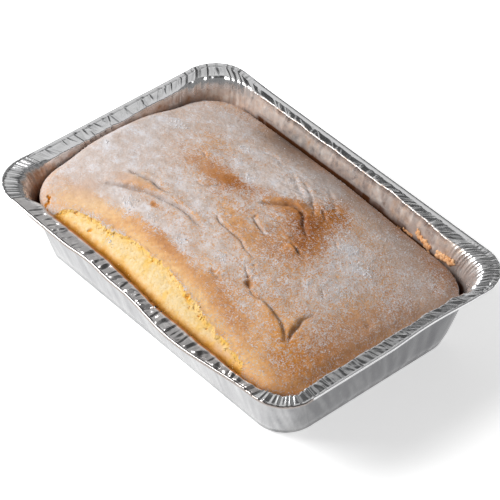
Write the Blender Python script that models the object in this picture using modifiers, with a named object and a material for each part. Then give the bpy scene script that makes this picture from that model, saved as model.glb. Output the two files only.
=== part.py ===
"""Sponge cake baked in an oblong foil tray.

Two pieces: the pressed foil tray, with its curled rim, and the sponge that fills it
and domes above it. Metres, +Z up. X runs along the tray, and the front long side is -Y.
Places are given from the middle of the tray's mould. At the end both pieces move so that
the origin is under the middle of their common box, on the tray's underside.
"""
import math

import bmesh
import bpy

MM = 0.001

# Foil tray. A box is (left, right, front, back), and corner radii are given in the order
# front left, front right, back left, back right.
RIM_BOX = (-108 * MM, 108 * MM, -74.6 * MM, 74.6 * MM)
RIM_RADII = (20.4 * MM, 20.4 * MM, 20.4 * MM, 20.4 * MM)
MOUTH_BOX = (-99 * MM, 101.2 * MM, -66.3 * MM, 67.3 * MM)
MOUTH_RADII = (15 * MM, 12 * MM, 19 * MM, 13 * MM)
BASE_BOX = (-88.9 * MM, 88.9 * MM, -55.5 * MM, 55.5 * MM)
BASE_RADII = (11.5 * MM, 17 * MM, 16 * MM, 16 * MM)
RIM_HEIGHT = 43.1 * MM
FOIL = 0.4 * MM
BASE_FILLET = 2.0 * MM
CURL_RADIUS = 1.1 * MM
CURL_ANGLES = (150, 90, 30, -30, -90, -150)
MOUTH_ROUND = 1.1 * MM
FLANGE_DIP = 0.3 * MM
PLEAT_DEPTH = 0.25 * MM

# How the soft rim has been pushed about: (middle, half-width, outward shift).
FRONT_RIM_BOWS = ((37 * MM, 42 * MM, 3.6 * MM), (-30 * MM, 18 * MM, -1.2 * MM),
                  (88 * MM, 24 * MM, -1.3 * MM))
RIGHT_RIM_BOWS = ((20 * MM, 34 * MM, -1.4 * MM),)
FRONT_MOUTH_BOW = 3.7 * MM
FRONT_MOUTH_START, FRONT_MOUTH_FULL = -25 * MM, 22 * MM
FRONT_MOUTH_EASE, FRONT_MOUTH_END = 74 * MM, 97 * MM

# Sponge
CLEARANCE = 0.9 * MM
SPONGE_FLOOR = 0.9 * MM
SPONGE_TOP_RADII = (24 * MM, 15 * MM, 24 * MM, 26 * MM)
EDGE_HEIGHT = 33.6 * MM
EDGE_FALL_TO_BACK = 2.2 * MM
EDGE_RISE_TO_RIGHT = 1.0 * MM
EDGE_FALL_BACK_RIGHT = 2.5 * MM
EDGE_BULGE_LEFT = 3.6 * MM
SHOULDER_WIDTH, SHOULDER_HEIGHT = 6 * MM, 4 * MM
DOME_HEIGHT, DOME_FULLNESS = 14 * MM, 0.7
SHRINK_START, SHRINK_END, SHRINK = -45 * MM, 85 * MM, 3.6 * MM

# The crust has torn away from a strip along the front, where the crumb lies lower.
TEAR_ROUTE = ((-72, -62.5), (-62, -56.5), (-40, -52.5), (-20, -50), (0, -50),
              (15, -52.5), (35, -57), (55, -60.5), (72, -64))
TEAR_DEPTH, TEAR_SLOPE = 1.5 * MM, 3 * MM

# Folds in the crust: (route in millimetres, half-width, height), a groove if negative.
FOLDS = (
    (((-64, -33), (-44, -23), (-20, -21), (-4, -22)), 4 * MM, 1.0 * MM),
    (((-62, -21), (-48, -18), (-33, -18)), 4 * MM, 0.7 * MM),
    (((-8, -13), (6, -15), (24, -18), (37, -30)), 4 * MM, -1.0 * MM),
    (((46, -33), (60, -34), (76, -42)), 4 * MM, -1.1 * MM),
    (((76, -42), (72, -32), (70, -21)), 4 * MM, -1.0 * MM),
    (((5, 15), (15, 20), (24, 15), (32, 8)), 5 * MM, 0.9 * MM),
)

# Mesh lines, measured in from the edge: by angle round a typical corner, then evenly.
LINE_RADIUS = 16 * MM
LINE_ANGLES = (45, 42, 37, 30, 21, 11, 0)
LINES_ALONG, LINES_ACROSS = 24, 15


def smooth(t):
    """Goes from 0 to 1 with level ends."""
    t = min(max(t, 0.0), 1.0)
    return t * t * (3 - 2 * t)


def bow(s, bows):
    """Adds up rounded bumps along a side, at distance s from its middle."""
    shift = 0.0
    for middle, half_width, height in bows:
        reach = min(abs(s - middle) / half_width, 1.0)
        shift += height * math.cos(reach * math.pi / 2) ** 2
    return shift


def mix(a, b, t):
    return tuple(p + (q - p) * t for p, q in zip(a, b))


def grow(box, amount):
    left, right, front, back = box
    return left - amount, right + amount, front - amount, back + amount


def side_lines(half_length, count):
    """Places of the mesh lines from -1 to 1, closer together near the two edges."""
    depths = [LINE_RADIUS * (1 - math.tan(math.radians(a))) for a in LINE_ANGLES]
    edge = [1 - depth / half_length for depth in depths]
    inner = [edge[-1] * (1 - 2 * k / count) for k in range(1, count)]
    return [-e for e in edge] + [-i for i in inner] + edge[::-1]


U_LINES = side_lines(RIM_BOX[1], LINES_ALONG)
V_LINES = side_lines(RIM_BOX[3], LINES_ACROSS)


def edge_params():
    """The mesh lines' ends, once round the outline, anticlockwise from front left."""
    last_u, last_v = len(U_LINES) - 1, len(V_LINES) - 1
    front = [(i, 0) for i in range(last_u)]
    right = [(last_u, j) for j in range(last_v)]
    back = [(i, last_v) for i in range(last_u, 0, -1)]
    left = [(0, j) for j in range(last_v, 0, -1)]
    return front + right + back + left


def place(u, v, box, radii):
    """Puts the point (u, v) of a square, -1 to 1 each way, in a box with round corners."""
    left, right, front, back = box
    x = u * right if u > 0 else -u * left
    y = v * back if v > 0 else -v * front
    radius = radii[(u > 0) + 2 * (v > 0)]
    centre_x = right - radius if u > 0 else left + radius
    centre_y = back - radius if v > 0 else front + radius
    dx, dy = x - centre_x, y - centre_y
    if dx * u > 0 and dy * v > 0:
        pull = max(abs(dx), abs(dy)) / math.hypot(dx, dy)
        x, y = centre_x + dx * pull, centre_y + dy * pull
    return x, y


def bowed_rim(x, y, u, v, share):
    """Moves a point of the rim's outline with the rim's dents and bulges."""
    front = smooth((-v - 0.6) / 0.4) * share
    right = smooth((u - 0.6) / 0.4) * share
    return x + right * bow(y, RIGHT_RIM_BOWS), y - front * bow(x, FRONT_RIM_BOWS)


def bowed_mouth(x, y, v, share):
    """Moves a point of the mouth's outline out along the front, where the wall bulges."""
    start = smooth((x - FRONT_MOUTH_START) / (FRONT_MOUTH_FULL - FRONT_MOUTH_START))
    end = 1 - smooth((x - FRONT_MOUTH_EASE) / (FRONT_MOUTH_END - FRONT_MOUTH_EASE))
    front = smooth((-v - 0.6) / 0.4) * share
    return x, y - front * FRONT_MOUTH_BOW * start * end


def wall_outline(u, v, height, inset, radii=None):
    """A point of the tray's wall at a height, drawn in by an inset."""
    share = height / RIM_HEIGHT
    box = grow(mix(BASE_BOX, MOUTH_BOX, share), -inset)
    wall_radii = mix(BASE_RADII, MOUTH_RADII, share)
    if radii is not None:
        wall_radii = radii
    x, y = place(u, v, box, wall_radii)
    return bowed_mouth(x, y, v, share)


def corner_share(u, v):
    """1 round the corners, falling to 0 one radius along the straight sides."""
    past = max((1 - abs(u)) * RIM_BOX[1], (1 - abs(v)) * RIM_BOX[3]) - LINE_RADIUS
    return 1 - smooth(past / LINE_RADIUS)


def pleat(index, u, v, depth):
    """Every other line stands out at the corners, where pressed foil gathers."""
    return depth * corner_share(u, v) * (1 if index % 2 else -1)


def wall_ring(height, inset, depth):
    ring = []
    for index, (i, j) in enumerate(edge_params()):
        u, v = U_LINES[i], V_LINES[j]
        x, y = wall_outline(u, v, height, inset + pleat(index, u, v, depth))
        ring.append((x, y, height + FOIL / 2))
    return ring


def flange_ring(share, inset, height, depth):
    """A ring of the flange: share 0 is at the mouth, 1 at the rim's outline."""
    ring = []
    for index, (i, j) in enumerate(edge_params()):
        u, v = U_LINES[i], V_LINES[j]
        box = grow(mix(MOUTH_BOX, RIM_BOX, share), -inset)
        radii = tuple(r - inset for r in mix(MOUTH_RADII, RIM_RADII, share))
        x, y = place(u, v, box, radii)
        x, y = bowed_mouth(x, y, v, 1 - share)
        x, y = bowed_rim(x, y, u, v, share)
        ring.append((x, y, height + pleat(index, u, v, depth)))
    return ring


def tray_rings():
    """The foil's middle surface, from the base's edge up the wall and round the curl."""
    base_inset = BASE_FILLET * 0.8
    rings = [wall_ring(0, base_inset, 0)]
    rings.append(wall_ring(BASE_FILLET * 0.7, 0, 0))
    rings.append(wall_ring(RIM_HEIGHT * 0.5, 0, PLEAT_DEPTH / 2))
    rings.append(wall_ring(RIM_HEIGHT - MOUTH_ROUND, 0, PLEAT_DEPTH))
    rings.append(flange_ring(0, -MOUTH_ROUND * 0.6, RIM_HEIGHT - FLANGE_DIP * 0.5, PLEAT_DEPTH))
    rings.append(flange_ring(1, CURL_RADIUS * 3.2, RIM_HEIGHT - FLANGE_DIP, PLEAT_DEPTH))
    for angle in CURL_ANGLES:
        turn = math.radians(angle)
        inset = CURL_RADIUS * (1 - math.cos(turn)) + FOIL / 2
        rings.append(flange_ring(1, inset, RIM_HEIGHT + CURL_RADIUS * math.sin(turn), 0))
    return rings


def loft(bm, rings):
    """Joins closed rings of equal length with quads, and returns their vertices."""
    rows = [[bm.verts.new(point) for point in ring] for ring in rings]
    for lower, upper in zip(rows, rows[1:]):
        for k in range(len(lower)):
            after = (k + 1) % len(lower)
            bm.faces.new((lower[k], lower[after], upper[after], upper[k]))
    return rows


def distance_to_route(x, y, route):
    """How far a point is from a line through points in millimetres."""
    nearest = math.inf
    for (ax, ay), (bx, by) in zip(route, route[1:]):
        ax, ay, bx, by = ax * MM, ay * MM, bx * MM, by * MM
        along = ((x - ax) * (bx - ax) + (y - ay) * (by - ay)) / ((bx - ax) ** 2 + (by - ay) ** 2)
        along = min(max(along, 0.0), 1.0)
        nearest = min(nearest, math.hypot(x - ax - along * (bx - ax), y - ay - along * (by - ay)))
    return nearest


def tear_line(x):
    """The torn edge's y at x, or None beside the torn strip."""
    for (ax, ay), (bx, by) in zip(TEAR_ROUTE, TEAR_ROUTE[1:]):
        if ax * MM <= x <= bx * MM:
            return (ay + (by - ay) * (x / MM - ax) / (bx - ax)) * MM
    return None


def crust_relief(x, y):
    """Folds and the torn strip, as a height added to the plain dome."""
    relief = 0.0
    for route, half_width, height in FOLDS:
        relief += height * math.exp(-(distance_to_route(x, y, route) / half_width * 1.4) ** 2)
    torn_from = tear_line(x)
    if torn_from is not None:
        relief -= TEAR_DEPTH * smooth((torn_from - y) / TEAR_SLOPE)
    return relief


def edge_height(u, v):
    """Where the sponge's side ends, all round."""
    corner = max(u, 0) * max(v, 0)
    left_middle = max(-u, 0) * (1 - v * v)
    return (EDGE_HEIGHT - EDGE_FALL_TO_BACK * v + EDGE_RISE_TO_RIGHT * u
            - EDGE_FALL_BACK_RIGHT * corner + EDGE_BULGE_LEFT * left_middle)


def shrink(x, v):
    """How far the sponge has drawn in from the back wall."""
    return SHRINK * smooth((x - SHRINK_START) / (SHRINK_END - SHRINK_START)) * max(v, 0) ** 3


def top_point(u, v):
    """A point of the sponge's top."""
    edge = edge_height(u, v)
    x, y = wall_outline(u, v, edge, CLEARANCE, SPONGE_TOP_RADII)
    y -= shrink(x, v)
    in_from_edge = min((1 - abs(u)) * MOUTH_BOX[1], (1 - abs(v)) * MOUTH_BOX[3])
    shoulder = 1 - min(in_from_edge / SHOULDER_WIDTH, 1.0)
    height = edge + SHOULDER_HEIGHT * math.sqrt(1 - shoulder ** 2)
    height += DOME_HEIGHT * ((1 - u * u) * (1 - v * v)) ** DOME_FULLNESS
    return x, y, height + crust_relief(x, y) * (1 - shoulder ** 2)


def side_ring(height, inset):
    ring = []
    for i, j in edge_params():
        x, y = wall_outline(U_LINES[i], V_LINES[j], height, inset)
        ring.append((x, y, height))
    return ring


def build_tray():
    bm = bmesh.new()
    rows = loft(bm, tray_rings())
    bm.faces.new(reversed(rows[0]))
    bmesh.ops.recalc_face_normals(bm, faces=bm.faces)
    tray = add_object("foil_tray", bm, foil_material())
    wall = tray.modifiers.new("foil", "SOLIDIFY")
    wall.thickness = FOIL
    wall.offset = 0
    return tray


def build_sponge():
    bm = bmesh.new()
    grid = [[bm.verts.new(top_point(u, v)) for v in V_LINES] for u in U_LINES]
    for i in range(len(U_LINES) - 1):
        for j in range(len(V_LINES) - 1):
            bm.faces.new((grid[i][j], grid[i + 1][j], grid[i + 1][j + 1], grid[i][j + 1]))
    foot_inset = CLEARANCE + BASE_FILLET
    sides = loft(bm, [side_ring(SPONGE_FLOOR, foot_inset),
                      side_ring(SPONGE_FLOOR + BASE_FILLET, CLEARANCE)])
    rim = [grid[i][j] for i, j in edge_params()]
    for k in range(len(rim)):
        after = (k + 1) % len(rim)
        bm.faces.new((sides[1][k], sides[1][after], rim[after], rim[k]))
    bm.faces.new(reversed(sides[0]))
    bmesh.ops.recalc_face_normals(bm, faces=bm.faces)
    return add_object("sponge", bm, sponge_material())


def add_object(name, bm, material):
    mesh = bpy.data.meshes.new(name)
    bm.to_mesh(mesh)
    bm.free()
    mesh.materials.append(material)
    mesh.shade_smooth()
    mesh.set_sharp_from_angle(angle=math.radians(40))
    piece = bpy.data.objects.new(name, mesh)
    part_collection().objects.link(piece)
    return piece


def part_collection():
    name = "sponge_cake_in_foil_tray"
    if name not in bpy.data.collections:
        bpy.context.scene.collection.children.link(bpy.data.collections.new(name))
    return bpy.data.collections[name]


def plain_material(name, colour, metallic, roughness):
    material = bpy.data.materials.new(name)
    material.use_nodes = True
    shader = material.node_tree.nodes["Principled BSDF"]
    shader.inputs["Base Color"].default_value = (*colour, 1)
    shader.inputs["Metallic"].default_value = metallic
    shader.inputs["Roughness"].default_value = roughness
    return material


def foil_material():
    return plain_material("foil", (0.78, 0.78, 0.79), 1.0, 0.32)


def sponge_material():
    return plain_material("sponge", (0.62, 0.36, 0.17), 0.0, 0.85)


def centre_on_origin(pieces):
    """Moves the pieces so that their common box stands centred on the origin."""
    bpy.context.view_layer.update()
    depsgraph = bpy.context.evaluated_depsgraph_get()
    corners = []
    for piece in pieces:
        mesh = piece.evaluated_get(depsgraph).to_mesh()
        corners += [tuple(vertex.co) for vertex in mesh.vertices]
    low = [min(corner[axis] for corner in corners) for axis in range(3)]
    high = [max(corner[axis] for corner in corners) for axis in range(3)]
    for piece in pieces:
        piece.location = (-(low[0] + high[0]) / 2, -(low[1] + high[1]) / 2, -low[2])


for old in list(bpy.data.objects):
    bpy.data.objects.remove(old, do_unlink=True)
centre_on_origin([build_tray(), build_sponge()])
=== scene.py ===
"""Looks of a sponge cake in its own foil tray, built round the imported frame.

The tray becomes thin pressed foil with pleats and creases. The sponge becomes a dense
surface with a folded, sugared crust and open crumb where it has split along the front.
Metres, +Z up. Places are given from the middle of the tray's mould, as in the CAD.
"""
import math

import bpy
import numpy as np
from mathutils import Matrix, Vector


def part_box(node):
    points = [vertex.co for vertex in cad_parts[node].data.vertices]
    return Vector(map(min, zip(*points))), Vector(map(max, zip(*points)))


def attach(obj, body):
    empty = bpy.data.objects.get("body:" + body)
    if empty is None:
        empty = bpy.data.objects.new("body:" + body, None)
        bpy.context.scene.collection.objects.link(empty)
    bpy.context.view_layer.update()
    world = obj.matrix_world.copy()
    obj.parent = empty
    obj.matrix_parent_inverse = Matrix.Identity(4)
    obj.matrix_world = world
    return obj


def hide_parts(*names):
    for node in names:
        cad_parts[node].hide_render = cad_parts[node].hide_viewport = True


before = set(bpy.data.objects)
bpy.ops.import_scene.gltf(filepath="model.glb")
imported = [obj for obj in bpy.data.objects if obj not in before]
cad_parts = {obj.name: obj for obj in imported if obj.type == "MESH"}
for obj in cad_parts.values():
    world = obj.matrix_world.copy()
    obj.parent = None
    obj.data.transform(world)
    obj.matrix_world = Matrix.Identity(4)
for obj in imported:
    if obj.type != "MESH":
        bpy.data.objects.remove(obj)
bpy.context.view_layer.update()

MM = 0.001
TRAY_LOW, TRAY_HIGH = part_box("foil_tray")
SPONGE_LOW, SPONGE_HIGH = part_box("sponge")

# The tray. A box is (left, right, front, back), and corner radii are given in the order
# front left, front right, back left, back right.
CURL_RADIUS = 1.1 * MM
CAD_FOIL = 0.4 * MM
HALF_LENGTH = TRAY_HIGH.x + CAD_FOIL / 2
HALF_WIDTH = 74.6 * MM
RIM_HEIGHT = TRAY_HIGH.z - CURL_RADIUS - CAD_FOIL / 2
MOULD = np.array([0.0, TRAY_HIGH.y + CAD_FOIL / 2 - HALF_WIDTH, 0.0])
RIM_BOX = (-HALF_LENGTH, HALF_LENGTH, -HALF_WIDTH, HALF_WIDTH)
RIM_RADII = (20.4 * MM, 20.4 * MM, 20.4 * MM, 20.4 * MM)
MOUTH_BOX = (-99 * MM, 101.2 * MM, -66.3 * MM, 67.0 * MM)
MOUTH_RADII = (15 * MM, 12 * MM, 19 * MM, 20 * MM)
BASE_BOX = (-88.9 * MM, 88.9 * MM, -55.5 * MM, 55.5 * MM)
BASE_RADII = (11.5 * MM, 17 * MM, 16 * MM, 16 * MM)
FOIL = 0.12 * MM
FRONT_RIM_BOWS = ((37 * MM, 42 * MM, 3.6 * MM), (-30 * MM, 18 * MM, -1.2 * MM),
                  (88 * MM, 24 * MM, -1.3 * MM))
RIGHT_RIM_BOWS = ((20 * MM, 34 * MM, -1.4 * MM),)
FRONT_MOUTH_BOW = 3.7 * MM
FRONT_MOUTH_RISE = (-25 * MM, 22 * MM)
FRONT_MOUTH_FALL = (74 * MM, 97 * MM)
LEFT_MOUTH_DENT = 1.4 * MM
BACK_MOUTH_DENT, BACK_MOUTH_START, BACK_MOUTH_END = 3.2 * MM, 15 * MM, 82 * MM

# The sponge, as in the CAD.
CLEARANCE = 0.9 * MM
SPONGE_FLOOR = 0.9 * MM
SPONGE_RADII = (24 * MM, 15 * MM, 24 * MM, 26 * MM)
EDGE_HEIGHT = 33.6 * MM
EDGE_FALL_TO_BACK = 2.9 * MM
EDGE_RISE_TO_RIGHT = 1.0 * MM
EDGE_FALL_BACK_RIGHT = 2.5 * MM
EDGE_BULGE_LEFT = 3.6 * MM
SHOULDER_WIDTH, SHOULDER_HEIGHT = 6 * MM, 4 * MM
DOME_HEIGHT, DOME_FULLNESS = 13.6 * MM, 0.7
SHRINK_START, SHRINK_END, SHRINK = -45 * MM, 85 * MM, 3.6 * MM


# ---------------------------------------------------------------- numbers and noise

def smooth(t):
    """Goes from 0 to 1 with level ends."""
    t = np.clip(t, 0, 1)
    return t * t * (3 - 2 * t)


def ramp(x, start, end):
    return smooth((x - start) / (end - start))


def mix(a, b, t):
    return tuple(p + (q - p) * t for p, q in zip(a, b))


def bow(s, bows):
    """Adds up rounded bumps along a side, at distance s from its middle."""
    shift = 0 * s
    for middle, half_width, height in bows:
        reach = np.clip(np.abs(s - middle) / half_width, 0, 1)
        shift = shift + height * np.cos(reach * np.pi / 2) ** 2
    return shift


def hashed(ix, iy, iz, seed):
    """A repeatable number from 0 to 1 for each whole-number place."""
    h = (ix * 374761393 + iy * 668265263 + iz * 1440662683 + seed * 1274126177) & 0xFFFFFFFF
    h = ((h ^ (h >> 13)) * 1274126177) & 0xFFFFFFFF
    h = ((h ^ (h >> 16)) * 2246822519) & 0xFFFFFFFF
    return ((h ^ (h >> 15)) & 0xFFFFFF) / 0xFFFFFF


def noise(x, y, z, size, seed):
    """Smooth noise from -1 to 1 whose lumps are about one size across."""
    x, y, z = np.broadcast_arrays(x / size, y / size, z / size)
    ix, iy, iz = (np.floor(c).astype(np.int64) for c in (x, y, z))
    fx, fy, fz = (smooth(c - i) for c, i in ((x, ix), (y, iy), (z, iz)))
    total = 0
    for dx in (0, 1):
        for dy in (0, 1):
            for dz in (0, 1):
                weight = (fx if dx else 1 - fx) * (fy if dy else 1 - fy) * (fz if dz else 1 - fz)
                total = total + weight * hashed(ix + dx, iy + dy, iz + dz, seed)
    return total * 2 - 1


def layered(x, y, z, size, seed, layers=3, gain=0.5):
    """Noise with finer noise added to it, still about -1 to 1."""
    total, strength, whole = 0, 1.0, 0.0
    for layer in range(layers):
        total = total + strength * noise(x, y, z, size / 2 ** layer, seed + 17 * layer)
        whole += strength
        strength *= gain
    return total / whole


def cells(x, y, size, seed, small, large):
    """Round cells scattered on a plane: 0 outside, rising to 1 in the middle of each."""
    ix, iy = np.floor(x / size).astype(np.int64), np.floor(y / size).astype(np.int64)
    best = np.zeros(np.shape(x))
    for dx in (-1, 0, 1):
        for dy in (-1, 0, 1):
            cx, cy = ix + dx, iy + dy
            px = (cx + hashed(cx, cy, 0, seed)) * size
            py = (cy + hashed(cx, cy, 1, seed)) * size
            radius = small + (large - small) * hashed(cx, cy, 2, seed) ** 2
            best = np.maximum(best, 1 - ((x - px) ** 2 + (y - py) ** 2) / radius ** 2)
    return np.sqrt(np.clip(best, 0, 1))


# ---------------------------------------------------------------- meshes and materials

def make_mesh(name, points, faces, materials, polygon=None):
    """A mesh from arrays of points and equal-sided faces, and perhaps one polygon more."""
    mesh = bpy.data.meshes.new(name)
    corners = [faces.ravel()]
    sizes = np.full(len(faces), faces.shape[1])
    if polygon is not None:
        corners.append(polygon)
        sizes = np.append(sizes, len(polygon))
    corners = np.concatenate(corners).astype(np.int32)
    mesh.vertices.add(len(points))
    mesh.vertices.foreach_set("co", np.ascontiguousarray(points, np.float32).ravel())
    mesh.loops.add(len(corners))
    mesh.loops.foreach_set("vertex_index", corners)
    mesh.polygons.add(len(sizes))
    mesh.polygons.foreach_set("loop_start", np.append(0, np.cumsum(sizes)[:-1]).astype(np.int32))
    mesh.update(calc_edges=True)
    mesh.shade_smooth()
    for material in materials:
        mesh.materials.append(material)
    piece = bpy.data.objects.new(name, mesh)
    bpy.context.scene.collection.objects.link(piece)
    return piece


def add_marks(piece, **marks):
    """Stores a number for each point, which the material reads by name."""
    for name, values in marks.items():
        attribute = piece.data.attributes.new(name, "FLOAT", "POINT")
        attribute.data.foreach_set("value", np.ascontiguousarray(values, np.float32).ravel())


def ring_quads(rows, count):
    """Quads between closed rings of points that are stored ring after ring."""
    k = np.arange(count)
    after = (k + 1) % count
    strips = [np.stack([r * count + k, r * count + after, (r + 1) * count + after,
                        (r + 1) * count + k], 1) for r in range(rows - 1)]
    return np.concatenate(strips)


def linear(red, green, blue):
    """A colour from 0 to 255 as a screen shows it, in the renderer's linear numbers."""
    out = []
    for value in (red, green, blue):
        value /= 255
        out.append(value / 12.92 if value <= 0.04045 else ((value + 0.055) / 1.055) ** 2.4)
    return (*out, 1.0)


class Nodes:
    """Short calls for building one material's node tree."""

    def __init__(self, name):
        self.material = bpy.data.materials.new(name)
        self.material.use_nodes = True
        self.tree = self.material.node_tree
        self.shader = self.tree.nodes["Principled BSDF"]

    def put(self, socket, value):
        if isinstance(value, bpy.types.NodeSocket):
            self.tree.links.new(value, socket)
        else:
            socket.default_value = value

    def math(self, operation, *values, clamp=False):
        node = self.tree.nodes.new("ShaderNodeMath")
        node.operation = operation
        node.use_clamp = clamp
        for socket, value in zip(node.inputs, values):
            self.put(socket, value)
        return node.outputs[0]

    def mark(self, name):
        node = self.tree.nodes.new("ShaderNodeAttribute")
        node.attribute_name = name
        return node.outputs["Fac"]

    def place(self):
        return self.tree.nodes.new("ShaderNodeTexCoord").outputs["Object"]

    def noise(self, size, detail=2.0, roughness=0.5, vector=None):
        node = self.tree.nodes.new("ShaderNodeTexNoise")
        node.inputs["Scale"].default_value = 1 / size
        node.inputs["Detail"].default_value = detail
        node.inputs["Roughness"].default_value = roughness
        self.put(node.inputs["Vector"], vector or self.place())
        return node.outputs["Fac"]

    def spread(self, value, low, high, to_low=0.0, to_high=1.0):
        """Stretches the range low to high over the range to_low to to_high."""
        node = self.tree.nodes.new("ShaderNodeMapRange")
        for socket, number in zip(node.inputs, (value, low, high, to_low, to_high)):
            self.put(socket, number)
        return node.outputs[0]

    def blend(self, share, a, b, kind="MIX"):
        node = self.tree.nodes.new("ShaderNodeMix")
        node.data_type = "RGBA"
        node.blend_type = kind
        self.put(node.inputs[0], share)
        self.put(node.inputs[6], a)
        self.put(node.inputs[7], b)
        return node.outputs[2]

    def steps(self, value, *stops):
        """A colour ramp through (place, colour) stops."""
        node = self.tree.nodes.new("ShaderNodeValToRGB")
        elements = node.color_ramp.elements
        while len(elements) < len(stops):
            elements.new(0.5)
        for element, (place, colour) in zip(elements, stops):
            element.position = place
            element.color = colour
        self.put(node.inputs[0], value)
        return node.outputs[0]

    def bump(self, height, distance, strength=1.0, under=None):
        node = self.tree.nodes.new("ShaderNodeBump")
        node.inputs["Distance"].default_value = distance
        node.inputs["Strength"].default_value = strength
        self.put(node.inputs["Height"], height)
        if under is not None:
            self.put(node.inputs["Normal"], under)
        return node.outputs[0]

    def finish(self, **sockets):
        for name, value in sockets.items():
            self.put(self.shader.inputs[name.replace("_", " ")], value)
        return self.material


# ---------------------------------------------------------------- foil tray

CORNER_STEPS, LONG_STEPS, SHORT_STEPS = 124, 370, 226
FILLET = 2.0 * MM
MOUTH_ROUND = 0.42 * MM
MOUTH_LIFT = 1.0 * MM

MOUTH_FLARE, FLARE_HEIGHT = 0.9 * MM, 7 * MM

# The rolled edge is pressed flat into a strip, wide and level along the back and the left
# end and narrow elsewhere. It is given by inset from the outside and height, in millimetres.
STRIP_WIDTH, STRIP_RISE, STRIP_SLOPE = 3.2 * MM, 0.2 * MM, 0.13
NARROW_STRIP, NARROW_GROOVE = 0.36, 0.4 * MM
LEFT_MOUTH_LIFT, LEFT_RIM_LIFT, LEFT_STRIP_SLOPE = 0.2 * MM, 0.95 * MM, 0.13
BEAD_PROFILE = ((2.9, 0.04), (2.5, 0.08), (1.9, 0.09), (1.3, 0.08), (0.8, 0.02), (0.45, -0.12),
                (0.15, -0.4), (0.0, -0.75), (0.06, -1.1), (0.4, -1.35), (1.0, -1.4))

# Pleats round each corner: where the corner's arc is in the outline, pitch, depth on the
# wall, depth on the rim, and how far they run on along the sides before and after the arc.
CORNER_PLEATS = (
    (1, 2.5 * MM, 0.16 * MM, 0.50 * MM, 14 * MM, 16 * MM),
    (3, 1.9 * MM, 0.36 * MM, 0.72 * MM, 8 * MM, 14 * MM),
    (5, 3.2 * MM, 0.55 * MM, 0.45 * MM, 22 * MM, 9 * MM),
    (7, 2.0 * MM, 0.60 * MM, 0.60 * MM, 15 * MM, 2 * MM),
)
# Upper edge of the dark line on the back wall, partly cake baked on to it and partly painted shade of the gap between
# the sponge and the wall: place along it, height.
BAKED_LINE = ((-80, 30.5), (-62, 35.3), (-34, 36.2), (-8, 35.9), (15, 35.5), (38, 34.4), (55, 33.2), (78, 30.5))
# How soft the mouth's edge is at those corners.
CORNER_SOFTNESS = ((1, 0.1), (3, 0.95), (5, 0.35), (7, 0.6))


def outline(box, radii):
    """Points once round a box with round corners, anticlockwise from the front left."""
    left, right, front, back = box
    front_left, front_right, back_left, back_right = radii
    sides = (((left + front_left, front), (right - front_right, front), LONG_STEPS),
             ((right, front + front_right), (right, back - back_right), SHORT_STEPS),
             ((right - back_right, back), (left + back_left, back), LONG_STEPS),
             ((left, back - back_left), (left, front + front_left), SHORT_STEPS))
    centres = ((right - front_right, front + front_right, front_right, -90),
               (right - back_right, back - back_right, back_right, 0),
               (left + back_left, back - back_left, back_left, 90),
               (left + front_left, front + front_left, front_left, 180))
    xs, ys = [], []
    for (start, end, steps), (cx, cy, radius, angle) in zip(sides, centres):
        t = np.arange(steps) / steps
        xs.append(start[0] + (end[0] - start[0]) * t)
        ys.append(start[1] + (end[1] - start[1]) * t)
        turn = np.radians(angle + 90 * np.arange(CORNER_STEPS) / CORNER_STEPS)
        xs.append(cx + radius * np.cos(turn))
        ys.append(cy + radius * np.sin(turn))
    return np.concatenate(xs), np.concatenate(ys)


def section_starts():
    """Index where each side and corner of the outline starts, and the end."""
    counts = (LONG_STEPS, CORNER_STEPS, SHORT_STEPS, CORNER_STEPS) * 2
    return np.append(0, np.cumsum(counts))


def rim_distance():
    """Distance along the rim at each point of an outline, and the whole way round."""
    x, y = outline(RIM_BOX, RIM_RADII)
    steps = np.hypot(np.roll(x, -1) - x, np.roll(y, -1) - y)
    return np.append(0, np.cumsum(steps)[:-1]), steps.sum()


def near_section(section, before, after):
    """1 on one section of the outline, fading to 0 over the distances before and after."""
    along, total = rim_distance()
    starts = np.append(along, total)[section_starts()]
    start, end = starts[section], starts[section + 1]
    inside = (along - start) % total < end - start
    lead = 1 - smooth(((start - along) % total) / before)
    tail = 1 - smooth(((along - end) % total) / after)
    return np.where(inside, 1.0, np.maximum(lead, tail))


def bowed_rim(x, y, share):
    """Moves the rim's outline with the rim's dents and bulges."""
    front = smooth((-y / HALF_WIDTH - 0.6) / 0.4) * share
    right = smooth((x / HALF_LENGTH - 0.6) / 0.4) * share
    return x + right * bow(y, RIGHT_RIM_BOWS), y - front * bow(x, FRONT_RIM_BOWS)


def bowed_mouth(x, y, v, share):
    """Moves the mouth's outline out along the front, where the wall bulges."""
    along = ramp(x, *FRONT_MOUTH_RISE) * (1 - ramp(x, *FRONT_MOUTH_FALL))
    return x, y - smooth((-v - 0.6) / 0.4) * share * FRONT_MOUTH_BOW * along


def dented_mouth(x, y, share):
    """Moves the mouth's outline in at the left end and along the back on the right."""
    left = smooth((-x / HALF_LENGTH - 0.6) / 0.3) * share * LEFT_MOUTH_DENT
    along = ramp(x, BACK_MOUTH_START, BACK_MOUTH_END) * (1 - ramp(x, BACK_MOUTH_END, 104 * MM))
    back = smooth((y / HALF_WIDTH - 0.5) / 0.3) * share * BACK_MOUTH_DENT * along
    return x + left, y - back


def grow(box, amount):
    left, right, front, back = box
    return left - amount, right + amount, front - amount, back + amount


def wall_row(height, inset=0.0):
    share = height / RIM_HEIGHT
    flare = np.clip((height - RIM_HEIGHT + FLARE_HEIGHT) / FLARE_HEIGHT, 0, 1) ** 2
    box = grow(mix(BASE_BOX, MOUTH_BOX, share), -inset - MOUTH_FLARE * min(share, 1) ** 2 * (1 - flare))
    x, y = outline(box, mix(BASE_RADII, MOUTH_RADII, share))
    x, y = bowed_mouth(x, y, y / abs(box[2]), share)
    x, y = dented_mouth(x, y, share)
    return np.stack([x, y, np.full(len(x), height)], 1)


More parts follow.
